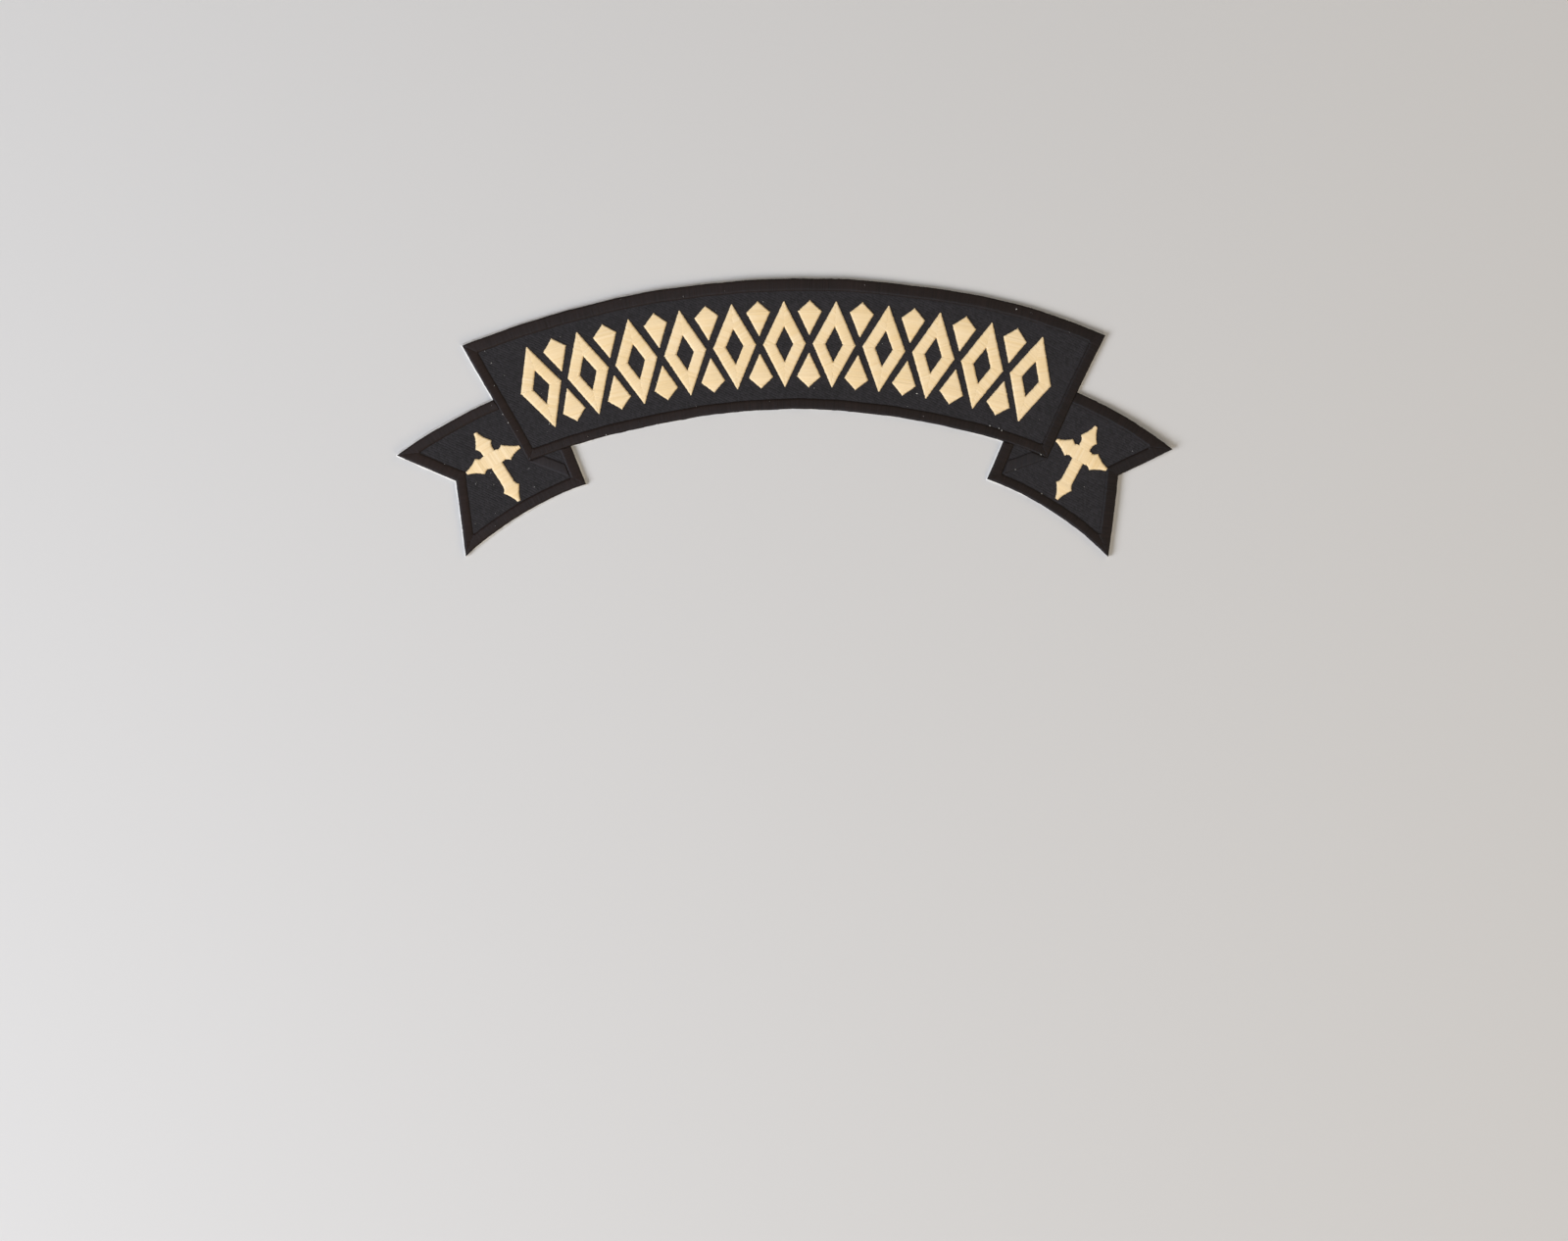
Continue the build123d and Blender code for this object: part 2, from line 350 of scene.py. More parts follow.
class Builder:
    """Collects closed shapes and makes them one mesh."""

    def __init__(self):
        self.points, self.faces, self.flat, self.tones, self.ways, self.maps = [], [], [], [], [], []
        self.count = 0
        self.reach = 0.0

    def add(self, points, faces, tone, ways, flat, maps=None):
        self.points.append(points)
        self.faces += [tuple(i + self.count for i in f) for f in faces]
        self.flat += flat
        self.tones.append(np.broadcast_to(tone, len(points)))
        self.ways.append(np.broadcast_to(ways, (len(points), 2)))
        self.maps += maps if maps is not None else [None] * len(faces)
        self.count += len(points)

    def strip(self, grid, tone, ways):
        """A closed bar from a grid of points: its rows run along it, and its columns go over
        its top from one foot to the other. Its map is the bar unrolled."""
        rows, columns = grid.shape[:2]
        index = np.arange(rows * columns).reshape(rows, columns)
        steps = np.linalg.norm(np.diff(grid[:, columns // 2], axis=0), axis=1)
        starts = self.reach + np.concatenate([[0], np.cumsum(steps)])
        rise = np.linalg.norm(np.diff(grid[rows // 2], axis=0), axis=1)
        heights = np.concatenate([[0], np.cumsum(rise), [rise.sum() + FOOT_SHARE * rise.sum()]])
        faces, flat, maps = [], [], []
        for here, there, s0, s1 in zip(index, index[1:], starts, starts[1:]):
            for c in range(columns):
                n = (c + 1) % columns
                faces.append((here[c], here[n], there[n], there[c]))
                flat.append(n == 0)
                maps.append(((s0, heights[c]), (s0, heights[c + 1]), (s1, heights[c + 1]), (s1, heights[c])))
        spread = END_SPREAD * np.abs(np.arange(columns) - columns // 2)
        for r, order in ((0, -1), (rows - 1, 1)):
            spots = list(zip(starts[r] + spread, heights))
            faces.append(tuple(index[r][::order]))
            flat.append(True)
            maps.append(tuple(spots[::order]))
        self.reach = starts[-1] + MAP_MARGIN
        self.add(grid.reshape(-1, 3), faces, np.repeat(tone, columns), ways.reshape(-1, 2), flat, maps)

    def make(self, name, material, mirrored=False):
        points = np.concatenate(self.points)
        if mirrored:
            points[:, 0] *= -1
        points[:, 2] += lift(points[:, 0], points[:, 1])
        points[:, :2] += drift(points[:, :2])
        faces = [f[::-1] for f in self.faces] if mirrored else self.faces
        mesh = bpy.data.meshes.new(name)
        mesh.from_pydata((points * MM).tolist(), [], faces)
        mesh.polygons.foreach_set("use_smooth", np.logical_not(self.flat))
        tone = mesh.attributes.new("tone", "FLOAT", "POINT")
        tone.data.foreach_set("value", np.concatenate(self.tones).astype(np.float32))
        way = mesh.attributes.new("way", "FLOAT_VECTOR", "POINT")
        ways = np.pad(np.concatenate(self.ways), ((0, 0), (0, 1)))
        way.data.foreach_set("vector", ways.astype(np.float32).ravel())
        if all(m is not None for m in self.maps):
            self.lay_map(mesh, mirrored)
        mesh.materials.append(material)
        mesh.validate()
        piece = new_object(name, mesh)
        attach(piece, "root")
        return piece

    def lay_map(self, mesh, mirrored):
        """Folds the long unrolled bars into shelves that fill a square."""
        shelf = max(v for m in self.maps for _, v in m) + MAP_MARGIN
        width = math.sqrt(self.reach * shelf)
        spots = []
        for face in self.maps:
            row = math.floor(min(u for u, _ in face) / width)
            face = [(u - row * width, v + row * shelf) for u, v in face]
            spots += face[::-1] if mirrored else face
        spots = np.array(spots)
        layer = mesh.uv_layers.new(name="OFBake")
        spots = spots / spots.max(0) * (1 - 2 * MAP_EDGE) + MAP_EDGE
        layer.uv.foreach_set("vector", spots.astype(np.float32).ravel())


def spans(polygon, s, seams):
    """Lowest and highest d of a polygon at each s, and whether each lies on a seam side."""
    found = np.zeros((4, len(s)))
    low, high, low_seam, high_seam = found
    low[:], high[:] = np.inf, -np.inf
    for side, ((s0, d0), (s1, d1)) in enumerate(zip(polygon, np.roll(polygon, -1, 0))):
        if abs(s1 - s0) > TINY:
            t = (s - s0) / (s1 - s0)
            d = d0 + t * (d1 - d0)
            hit = (t >= 0) & (t <= 1)
            lower, higher = hit & (d < low), hit & (d > high)
            low[lower], low_seam[lower] = d[lower], side in seams
            high[higher], high_seam[higher] = d[higher], side in seams
    return found


EDGE_WAYS = (0.0, 0.08, 0.28, 0.6, 0.85)  # along a stitch, from where it comes up out of the cloth
INNER_WAYS = (0.0, 0.2, 0.5, 0.9, 1.2)  # the same at a border's inner edge
EDGE_RISES = (0.0, 0.42, 0.76, 0.95, 1.0)
SEAM_RISES = (0.0, 0.92, 0.955, 0.985, 1.0)  # where it dips into a seam between two bands of satin
STITCH_SIDE = 0.27  # of a pitch, from a thread's middle to the sides of its back
END_STRAY = 0.045  # how far threads end past their outline or short of it
SKEW_STRAY = 0.035  # how far their ends stray along it
LEVEL_STRAY = 0.02  # how far their heights do, as a share
VALLEY_SHORT = 0.09  # how far the grooves end short of the threads
LEAST_LENGTH = 0.15
FEET_ROOM = 1.15  # a thread no longer than its two feet by this has smaller feet
FULL_LENGTH = 1.6  # a shorter thread stands lower


def satin(build, polygon, place, rise, seams=(), high_ways=EDGE_WAYS):
    """Satin over a polygon of (s, d): a thread across d at each step of s. The sides that are
    seams lie against other satin, and threads that end there stay high."""
    polygon = np.asarray(polygon, float)
    first, last = polygon[:, 0].min(), polygon[:, 0].max()
    count = max(2, round((last - first) / STITCH_PITCH))
    pitch = (last - first) / count
    middles = first + (np.arange(count) + 0.5) * pitch
    found = spans(polygon, middles, seams)
    keep = np.flatnonzero(found[1] - found[0] > SHORTEST_STITCH)
    if len(keep) < 2:
        return
    keep = slice(keep[0], keep[-1] + 1)
    middles, found = middles[keep], found[:, keep]
    count = len(middles)
    found[:2] = found[:2] + SEAM_LAP * found[2:] * [[-1], [1]] + rng.normal(0, END_STRAY, (2, count))
    skew = rng.normal(0, SKEW_STRAY, count)
    level = 1 + rng.normal(0, LEVEL_STRAY, count)
    tone = rng.normal(0, 1, count)

    # Three rows of points to a thread: the groove before it and both sides of its back
    values = np.vstack([found, skew, level, tone])
    padded = np.concatenate([values[:, :1], values, values[:, -1:]], 1)
    rows = np.empty((len(values), 3 * count + 1))
    rows[:, 0::3] = (padded[:, 1:] + padded[:, :-1]) / 2
    rows[:, 1::3] = rows[:, 2::3] = values
    lows, highs, low_seams, high_seams, skews, levels, tones = rows[..., None]
    lows[0::3] += VALLEY_SHORT
    highs[0::3] -= VALLEY_SHORT
    s = np.empty((3 * count + 1, 1))
    s[0::3, 0] = np.append(middles - pitch / 2, middles[-1] + pitch / 2)
    s[1::3, 0], s[2::3, 0] = middles - STITCH_SIDE * pitch, middles + STITCH_SIDE * pitch
    length = np.maximum(highs - lows, LEAST_LENGTH)
    scale = np.minimum(1, length / (FEET_ROOM * (EDGE_WAYS[-1] + high_ways[-1])))
    across = np.concatenate([EDGE_WAYS * scale, length - high_ways[::-1] * scale], 1)
    more = np.array(SEAM_RISES) - EDGE_RISES
    low_rise, high_rise = (EDGE_RISES + on * more for on in (low_seams, high_seams))
    shape = np.concatenate([low_rise, high_rise[:, ::-1]], 1)
    fullness = np.minimum(1, (length / FULL_LENGTH) ** 0.5)
    z = (STITCH_BASE + rise - STITCH_FLOOR) * levels * fullness * shape
    z[0::3] = np.maximum(z[0::3] - STITCH_VALLEY, 0)
    z[0::3, [0, -1]] = 0
    d = lows + across
    spot = place(s - 2 * skews * (across / length - 0.5), d)
    grid = np.concatenate([spot, (STITCH_FLOOR + z)[..., None]], 2)
    build.strip(grid, tones[:, 0], np.stack(np.broadcast_arrays(s, d), 2))


def clip(polygon, point, inward):
    """The part of a convex polygon on the inward side of a line through a point."""
    kept = []
    side = (polygon - point) @ inward
    for i in range(len(polygon)):
        a, b, sa, sb = polygon[i - 1], polygon[i], side[i - 1], side[i]
        if (sa < 0) != (sb < 0):
            kept.append(a + (b - a) * sa / (sa - sb))
        if sb >= 0:
            kept.append(b)
    return np.array(kept)


def inset(polygon, amount):
    """A convex polygon, smaller by an amount all round."""
    middle = polygon.mean(0)
    smaller = polygon
    for a, b in zip(polygon, np.roll(polygon, -1, 0)):
        step = b - a
        if np.hypot(*step) > TINY:
            inward = np.array([-step[1], step[0]]) / np.hypot(*step)
            inward *= 1 if (middle - a) @ inward > 0 else -1
            smaller = clip(smaller, a + inward * amount, inward)
    return smaller


# Materials: a noise's scale is to the metre on the patch, and to the millimetre along a stitch


def material(name):
    made = bpy.data.materials.new(name)
    made.use_nodes = True
    tree = made.node_tree
    return made, tree, tree.nodes["Principled BSDF"]


def feed(tree, node, inputs):
    """Gives each of a node's inputs a value, or another node's output."""
    for key, value in inputs.items():
        if isinstance(value, bpy.types.NodeSocket):
            tree.links.new(value, node.inputs[key])
        else:
            node.inputs[key].default_value = value


def new_node(tree, kind, inputs):
    made = tree.nodes.new(f"ShaderNode{kind}")
    feed(tree, made, inputs)
    return made


def object_place(tree):
    return tree.nodes.new("ShaderNodeTexCoord").outputs["Object"]


def attribute(tree, name, output):
    made = tree.nodes.new("ShaderNodeAttribute")
    made.attribute_name = name
    return made.outputs[output]


def noise(tree, vector, scale, detail, roughness=0.5):
    """Noise of one scale, or of a scale for each of the three axes."""
    if isinstance(scale, tuple):
        vector = new_node(tree, "Mapping", {"Vector": vector, "Scale": scale}).outputs["Vector"]
        scale = 1.0
    inputs = {"Vector": vector, "Scale": scale, "Detail": detail, "Roughness": roughness}
    return new_node(tree, "TexNoise", inputs).outputs["Fac"]


def math_node(tree, operation, a, b):
    made = new_node(tree, "Math", {0: a, 1: b})
    made.operation = operation
    return made.outputs[0]


def mixed(tree, *parts):
    """Sum of sources, each times its weight, held between 0 and 1."""
    total = 0.0
    for source, weight in parts:
        total = math_node(tree, "ADD", total, math_node(tree, "MULTIPLY", source, weight))
    total.node.use_clamp = True
    return total


def colour_by(tree, shader, value, stops, colours):
    """The shader's colour runs from one to the other between two stops of a value."""
    made = new_node(tree, "ValToRGB", {"Fac": value})
    for element, stop, colour in zip(made.color_ramp.elements, stops, colours):
        element.position = stop
        element.color = (*colour, 1)
    feed(tree, shader, {"Base Color": made.outputs["Color"]})


def bump_by(tree, shader, height, strength, distance):
    inputs = {"Height": height, "Strength": strength, "Distance": distance * MM}
    feed(tree, shader, {"Normal": new_node(tree, "Bump", inputs).outputs["Normal"]})


THREAD_ROUGHNESS = 0.42  # at its smoothest
ROUGHNESS_SPREAD = 0.16


def thread_material(name, colours, tint, variety, gloss, sheen=0.0, fade=0.0):
    """Lustrous embroidery thread: filaments along each stitch, and tones that differ a little
    from thread to thread and over the patch. The tones also grow darker to the right, by the given share a
    metre: painted shade, standing for light that is weaker there."""
    made, tree, shader = material(name)
    place = object_place(tree)
    to_right = new_node(tree, "SeparateXYZ", {"Vector": place}).outputs["X"]
    tone = attribute(tree, "tone", "Fac")
    way = attribute(tree, "way", "Vector")
    filaments = noise(tree, way, scale=(16.0, 1.1, 1.0), detail=3.0)
    patches = noise(tree, place, scale=60.0, detail=3.0)
    # The term by x is painted shade: the threads get darker to the right, where the light is weaker
    value = mixed(tree, (tone, variety), (to_right, -fade), (filaments, 0.5), (patches, 0.5))
    colour_by(tree, shader, value, (0.15, 0.85), colours)
    rough = math_node(tree, "MULTIPLY", filaments, ROUGHNESS_SPREAD)
    rough = math_node(tree, "ADD", rough, THREAD_ROUGHNESS)
    feed(tree, shader, {"Roughness": rough, "Specular IOR Level": gloss, "Specular Tint": (*tint, 1)})
    feed(tree, shader, {"Sheen Weight": sheen, "Sheen Roughness": 0.4})
    bump_by(tree, shader, filaments, strength=0.5, distance=0.06)
    return made


def twill_material(name, colours):
    made, tree, shader = material(name)
    place = object_place(tree)
    tone = attribute(tree, "tone", "Fac")
    yarn = noise(tree, place, scale=(900.0, 5200.0, 900.0), detail=3.0, roughness=0.6)
    patches = noise(tree, place, scale=240.0, detail=5.0, roughness=0.7)
    value = mixed(tree, (tone, 0.2), (yarn, 0.45), (patches, 0.55))
    colour_by(tree, shader, value, (0.22, 0.78), colours)
    feed(tree, shader, {"Roughness": 0.72, "Specular IOR Level": 0.3})
    feed(tree, shader, {"Sheen Weight": 0.04, "Sheen Roughness": 0.6})
    bump_by(tree, shader, yarn, strength=0.6, distance=0.08)
    return made


def felt_material(name, colours):
    """Pressed fibres, soiled a little in patches."""
    made, tree, shader = material(name)
    place = object_place(tree)
    fibres = noise(tree, place, scale=(2600.0, 2600.0, 5200.0), detail=5.0, roughness=0.7)
    patches = noise(tree, place, scale=140.0, detail=4.0, roughness=0.6)
    value = mixed(tree, (fibres, 0.5), (patches, 0.5))
    colour_by(tree, shader, value, (0.3, 0.7), colours)
    feed(tree, shader, {"Roughness": 0.85, "Sheen Weight": 0.15})
    bump_by(tree, shader, fibres, strength=0.7, distance=0.12)
    return made


# Each pair is the darkest and the lightest of a material's tones
BLACK = (0.0110, 0.0055, 0.0022), (0.0212, 0.0114, 0.0078)
# The fold band's thread is the black thread made paler and bluer: a painted sheen
FOLD_PAINTED_SHEEN = (0.0160, 0.0125, 0.0117), (0.0262, 0.0184, 0.0173)
CREAM = (0.805, 0.58, 0.275), (0.94, 0.77, 0.53)
TWILL = (0.0070, 0.0062, 0.0081), (0.0186, 0.0166, 0.0209)
FELT = (0.62, 0.61, 0.59), (0.92, 0.91, 0.89)
LINT = (0.55, 0.54, 0.52), (0.85, 0.84, 0.82)
BLACK_TINT, CREAM_TINT = (0.55, 0.73, 0.92), (0.84, 0.93, 1)  # of the light that they reflect
# Both black threads carry painted shade, darker to the right
black_thread, fold_thread_painted_sheen = (
    thread_material(name, colours, BLACK_TINT, variety=0.1, gloss=0.26, fade=1.5)
    for name, colours in (("black_satin_thread", BLACK), ("black_fold_thread_painted_sheen", FOLD_PAINTED_SHEEN))
)
cream_thread = thread_material(
    "cream_satin_thread", CREAM, CREAM_TINT, variety=0.07, gloss=0.6, sheen=0.05
)
twill = twill_material("black_twill", TWILL)
backing_felt = felt_material("backing_felt", FELT)
lint_white = felt_material("lint", LINT)


def satin_piece(build, node, thread, mirrored=False):
    """Makes what was built one piece that stands for a node of the part."""
    piece = build.make(f"satin_{node}", thread, mirrored)
    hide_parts(node)


def bands(edges, widths):
    """Each edge's band as a polygon of (s, d), cut at its mitres."""
    return [
        [(0, 0), (edge.length, 0), (last, width), (first, width)]
        for edge, width, (first, last) in zip(edges, widths, corner_ways(edges, widths))
    ]


# The banner's border, band by band between its mitred corners
AHEAD, BEHIND = 1, 3  # a band's two mitred sides
build = Builder()
for edge, band in zip(banner_edges, bands(banner_edges, BANNER_WIDTHS)):
    satin(build, band, edge.at, BAND_RISE, (AHEAD, BEHIND), INNER_WAYS)
satin_piece(build, "banner_border", black_thread)

# Tail borders, cut where the banner covers them, and fold bands
COVER_GAP = 0.04
SEEN_SHARE = 0.1  # of the inner end, from its corner: the banner surely leaves this in sight
LOWER_BACK, UNDER_ALONG = 8.0, 6.0  # where the two arcs' directions are taken at the fold band
banner_cover = outline(banner_edges, -COVER_GAP)
upper, lower, inner_end = tail_edges[0], tail_edges[3], tail_edges[4]
under = banner_edges[2]
fold_line = Line(under_right, inner)


def tail_bands(widths):
    """The tail's bands, those that run on under the banner cut at its rim."""
    found = bands(tail_edges, widths)
    for band, edge, ends in ((found[0], upper, (0, 3)), (found[4], inner_end, (1, 2))):
        low = 0.0 if edge is upper else edge.length * SEEN_SHARE
        for index in ends:
            depth = band[index][1]
            band[index] = (leaves(edge, depth, banner_cover, low, edge.length), depth)
    return found


def fold_polygon(widths):
    """The band on the fold, cut where it meets the tail's bands and the banner."""
    near, far = -FOLD_SPREAD, BORDER_WIDTH + FOLD_SPREAD
    ends = [(0, near), (fold_line.length, near), (fold_line.length, far), (0, far)]
    polygon = np.array(ends, float)
    meetings = (
        (inner_end, 0.0, widths[4], 1),
        (lower, lower.length - LOWER_BACK, widths[3], 1),
        (under, UNDER_ALONG, 0.0, -1),
    )
    for edge, way, depth, side in meetings:
        spot, deeper = edge.at(way, depth + side * COVER_GAP), edge.at(way, depth + side)
        polygon = clip(polygon, fold_line.ways(spot - fold_line.start), fold_line.ways(deeper - spot))
    return polygon


FOLD_SLANT = -fold_line.along[1] / fold_line.along[0]  # the fold band's threads stand upright


def fold_place(s, d):
    return fold_line.at(s + d * FOLD_SLANT, d)


for side in ("left", "right"):
    mirrored = side == "left"
    build = Builder()
    for edge, band in zip(tail_edges, tail_bands(TAIL_WIDTHS[side])):
        seams = (AHEAD,) if edge is upper else (BEHIND,) if edge is inner_end else (AHEAD, BEHIND)
        satin(build, band, edge.at, BAND_RISE, seams, INNER_WAYS)
    satin_piece(build, f"{side}_tail_border", black_thread, mirrored)

    build = Builder()
    fold = fold_polygon(TAIL_WIDTHS[side])
    satin(build, fold - fold[:, 1:] * (FOLD_SLANT, 0), fold_place, BAND_RISE)
    # The fold band gets the black thread with a painted sheen
    satin_piece(build, f"{side}_fold_band", fold_thread_painted_sheen, mirrored)

# Crosses: both side limbs are one column of stitches, and the others start at its sides
end_lean = math.atan2(CROWN_HALF - UNDER_HALF, CROWN_CORNER_Y - UNDER_CORNER_Y)
cross_inner = CROSS_ABOVE * math.tan(end_lean - TAIL_SLANT) + CROSS_INNER_CLEAR
cross_outer = NOTCH[0] - BORDER_WIDTH - CROSS_OUTER_CLEAR
cross_centre = (cross_inner + cross_outer) / 2
side_limb = (cross_outer - cross_inner) / 2
flare_length = side_limb - CROSS_ROOT / 2 - SIDE_STEM - POINT_LENGTH
top_limb = (ROOT_ABOVE + UPPER_TIP[1]) / 2 - BORDER_WIDTH - CROSS_ABOVE - CROSS_TOP_CLEAR
foot_limb = CROSS_ABOVE + TAIL_BELOW - LOWER_EDGE_BOW - BORDER_WIDTH - CROSS_FOOT_CLEAR

THREAD_SPREAD = 0.12  # how far a cross's threads bulge past its outline
LIMB_START = 0.3  # of the upper limb and the foot, past the side limbs' own edge
THINNEST = 0.05  # half width that a limb keeps at its point


def hollow(start, end, sag, count=5):
    """Points of a shallow arc that sags towards the limb's middle."""
    start, end = np.array(start), np.array(end)
    away = np.array([end[1] - start[1], start[0] - end[0]])
    away = away / np.hypot(*away)
    t = np.linspace(0, 1, count)[:, None]
    return start + (end - start) * t + away * sag * 4 * t * (1 - t)


def limb_side(length, ease):
    """Upper side of a limb, from its root to its point, as (way along, half width). It lies by
    ease inside the limb's outline, or outside it where ease is negative."""
    shoulder_at = length - POINT_LENGTH
    neck_at = shoulder_at - flare_length
    flare = hollow((neck_at, CROSS_NECK / 2), (shoulder_at, CROSS_SHOULDER / 2), FLARE_HOLLOW)
    point = hollow((shoulder_at, CROSS_SHOULDER / 2), (length, CROSS_BLUNT / 2), POINT_HOLLOW)
    side = np.concatenate([[(0, CROSS_ROOT / 2)], flare, point])
    side[:, 1] = np.maximum(side[:, 1] - ease, THINNEST)
    side[-1, 0] -= ease
    return side


def column(*sides):
    """Closed polygon of a column of stitches with these points on one side, mirrored."""
    side = np.concatenate(sides)
    return np.concatenate([side, side[::-1] * (1, -1)])


def side_limbs(ease):
    """The column of both side limbs."""
    side = limb_side(side_limb, ease)
    return column(side[::-1] * (-1, 1), side[1:])


def limb(length, ease):
    """The column of the upper limb or the foot."""
    side = limb_side(length, ease)
    side[0] = (CROSS_NECK / 2 + LIMB_START, CROSS_NECK / 2 - ease)
    return column(side)


SIDEWAYS, UP, DOWN = 0.0, math.pi / 2, -math.pi / 2
STRAIGHT = (0.0, 0.0)
# How far the points of the inner and the outer side limb stray upwards, as sewn
LIMB_BENDS = {"left": (-1.3, 0.5), "right": STRAIGHT}


def cross_place(turn, bends=STRAIGHT):
    """Places (way along a limb, way across it) on the patch."""
    on_limb = framed((cross_centre, CROSS_ABOVE), turn)

    def place(s, d):
        bend = np.where(s < 0, *bends) * (s / side_limb) ** 2
        return placed(on_tail, on_limb(s, d + bend))

    return place


def cross_columns(side, ease=-THREAD_SPREAD):
    """A cross's columns of stitches, each after the function that places it."""
    return (
        (cross_place(SIDEWAYS, LIMB_BENDS[side]), side_limbs(ease)),
        (cross_place(UP), limb(top_limb, ease)),
        (cross_place(DOWN), limb(foot_limb, ease)),
    )


def cross_outlines(side, ease=-THREAD_SPREAD):
    return [placed(*column) for column in cross_columns(side, ease)]


# Sides of the side limbs' column at the crossing, where the other limbs start
side_points = len(limb_side(side_limb, 0.0))
crossing_sides = (side_points - 2, side_points - 1, 3 * side_points - 3, 3 * side_points - 2)
for side in ("left", "right"):
    build = Builder()
    for (place, polygon), seams in zip(cross_columns(side), (crossing_sides, (), ())):
        satin(build, polygon, place, MOTIF_RISE, seams)
    satin_piece(build, f"{side}_cross", cream_thread, side == "left")

# Ornament row: each lozenge ring is four limbs that meet in mitres, each dart one column
LOZENGE_HEIGHT = BANNER_DEPTH - 2 * BORDER_WIDTH - 2 * ROW_MARGIN
row_radius = (banner_edges[0].radius + banner_edges[2].radius) / 2
row_centre = np.array([0, (CROWN_Y + UNDER_Y) / 2 - row_radius])
row_half_width = (CROWN_HALF + UNDER_HALF) / 2 - BORDER_WIDTH - ROW_END_MARGIN
row_half_length = row_radius * math.asin(row_half_width / row_radius)
row_pitch = LOZENGE_WIDTH + MOTIF_GAP
lozenge_count = 1 + math.floor((2 * row_half_length - LOZENGE_WIDTH) / row_pitch)


def row_place(steps, turn=0.0):
    """Places a motif's own x and y some pitches right of the row's middle."""
    lean = steps * row_pitch / row_radius
    origin = row_centre + row_radius * np.array([math.sin(lean), math.cos(lean)])
    return framed(origin, turn - lean)


half_width, half_height = LOZENGE_WIDTH / 2, LOZENGE_HEIGHT / 2
slope = LOZENGE_WIDTH / LOZENGE_HEIGHT
hole_width = half_width - LOZENGE_BAND * math.hypot(1, slope)
hole_height = hole_width / slope
ring_limb = Line((0, 0), (-half_width, half_height))
limb_corners = np.array([(half_width, 0), (0, half_height), (0, hole_height), (hole_width, 0)])
limb_polygon = ring_limb.ways(limb_corners)
side_gap = MOTIF_GAP * math.hypot(1, slope)
dart_base = (side_gap - row_pitch / 2 + half_width) / slope
dart_shoulder = half_height - DART_SHOULDER_DROP
dart_half = (dart_shoulder - dart_base) * slope
dart_side = np.array([(dart_base, 0.0), (dart_shoulder, dart_half), (half_height, 0.0)])
kite = column(dart_side)[:, ::-1]
diamond = np.array([(1, 0), (0, 1 / slope), (-1, 0), (0, -1 / slope)])
tuck_share = WEAVE_TUCK * math.hypot(1, slope)
# The banner's weave is cut away under the row's satin, and pressed down along these seams
row_cuts, row_seams = [], [outline(banner_edges, BANNER_WIDTHS)]

for index in range(lozenge_count):
    place = row_place(index - (lozenge_count - 1) / 2)
    build = Builder()
    for flips in ((1, 1), (-1, 1), (-1, -1), (1, -1)):
        satin(
            build,
            limb_polygon,
            lambda s, d: placed(place, ring_limb.at(s, d) * flips),
            MOTIF_RISE,
            (AHEAD, BEHIND),
        )
    satin_piece(build, f"lozenge_{index + 1:02d}", cream_thread)
    row_seams += [placed(place, diamond * width) for width in (half_width, hole_width)]
    rings = (half_width - tuck_share, hole_width + tuck_share)
    row_cuts.append([placed(place, diamond * width) for width in rings])

for index in range(lozenge_count - 1):
    for row, turn in (("upper", 0.0), ("lower", math.pi)):
        place = row_place(index - (lozenge_count - 2) / 2, turn)
        build = Builder()
        satin(build, column(dart_side), lambda s, d: place(d, s), MOTIF_RISE)
        satin_piece(build, f"{row}_dart_{index + 1:02d}", cream_thread)
        row_seams.append(placed(place, kite))
        row_cuts.append([placed(place, inset(kite, WEAVE_TUCK))])

# Twill weave, in rows that stop a little way under the satin
SHORTEST_ROW = 0.3
FLOAT_RISES = (0.55, 1.0)  # between two floats, and on top of one
FLOAT_SIDES = (0.24, 0.33)  # of a wale's width, to the sides of its back
FLOAT_STRAY, LEAST_STRAY, MOST_STRAY = 0.28, -0.7, 0.9  # shares of a float's rise
SIDE_STRAY = 0.06  # how far floats lie off their wale's middle
END_CLEAR = 0.1  # no float starts closer than this to a row's end
SECTION = np.array([0, 1, 1, 0])  # foot, back, back, foot
wale_along = np.array([math.cos(WALE_LEAN), math.sin(WALE_LEAN)])
wale_across = np.array([-wale_along[1], wale_along[0]])


def row_spans(polygons, v):
    """Stretches of the wale at v that lie in polygons, by the even-odd rule."""
    ways = []
    for polygon in polygons:
        u0, v0 = polygon @ wale_along, polygon @ wale_across
        u1, v1 = np.roll(u0, -1), np.roll(v0, -1)
        hit = (v0 > v) != (v1 > v)
        ways.append(u0[hit] + (v - v0[hit]) * (u1[hit] - u0[hit]) / (v1[hit] - v0[hit]))
    ways = np.sort(np.concatenate(ways))
    return list(zip(ways[0::2], ways[1::2]))


def without(stretches, cuts):
    for c0, c1 in cuts:
        parts = [p for a, b in stretches for p in ((a, min(b, c0)), (max(a, c1), b))]
        stretches = [p for p in parts if p[1] - p[0] > SHORTEST_ROW]
    return stretches


def gap_to(points, polygons):
    """Distance from each point to the nearest side of the polygons."""
    starts = np.concatenate(polygons)
    steps = np.concatenate([np.roll(p, -1, 0) - p for p in polygons])
    away = points[:, None] - starts
    share = (away * steps).sum(-1) / np.maximum((steps**2).sum(-1), TINY)
    rest = away - np.clip(share, 0, 1)[..., None] * steps
    return np.sqrt((rest**2).sum(-1)).min(1)


